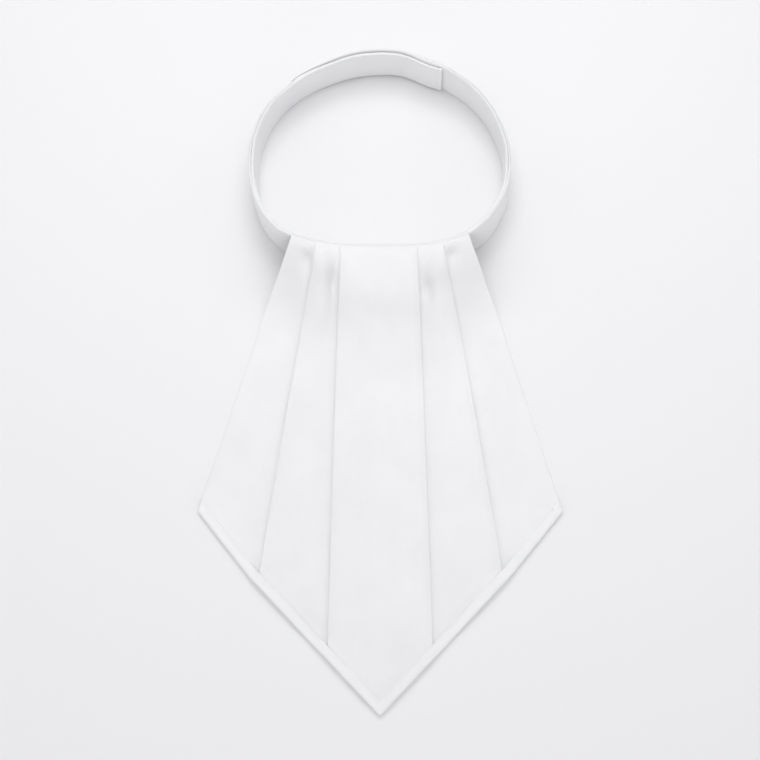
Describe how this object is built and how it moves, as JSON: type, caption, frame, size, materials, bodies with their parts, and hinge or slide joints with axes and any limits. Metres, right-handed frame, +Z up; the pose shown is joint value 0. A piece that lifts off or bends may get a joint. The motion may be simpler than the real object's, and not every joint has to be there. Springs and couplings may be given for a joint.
{
  "type": "stock tie",
  "caption": "Pre-tied equestrian stock tie of white cotton: a standing neckband ring with a pleated, pointed bib that lies flat in front of it.",
  "frame": {"origin": "on the surface the tie lies on, under the middle of the whole tie", "axes": "+Y runs from the bib's point to the neckband, +Z is up from the surface, +X is the wearer's left"},
  "size_m": [0.1822, 0.3474, 0.0297],
  "materials": {
    "band_cotton": "matt, fine plain weave",
    "bib_cotton": "matt, fine plain weave",
    "hem_cotton": "matt, fine plain weave, pressed"
  },
  "bodies": {
    "root": {"neckband": "band_cotton", "bib": "bib_cotton", "hem": "hem_cotton"}
  },
  "joints": []
}
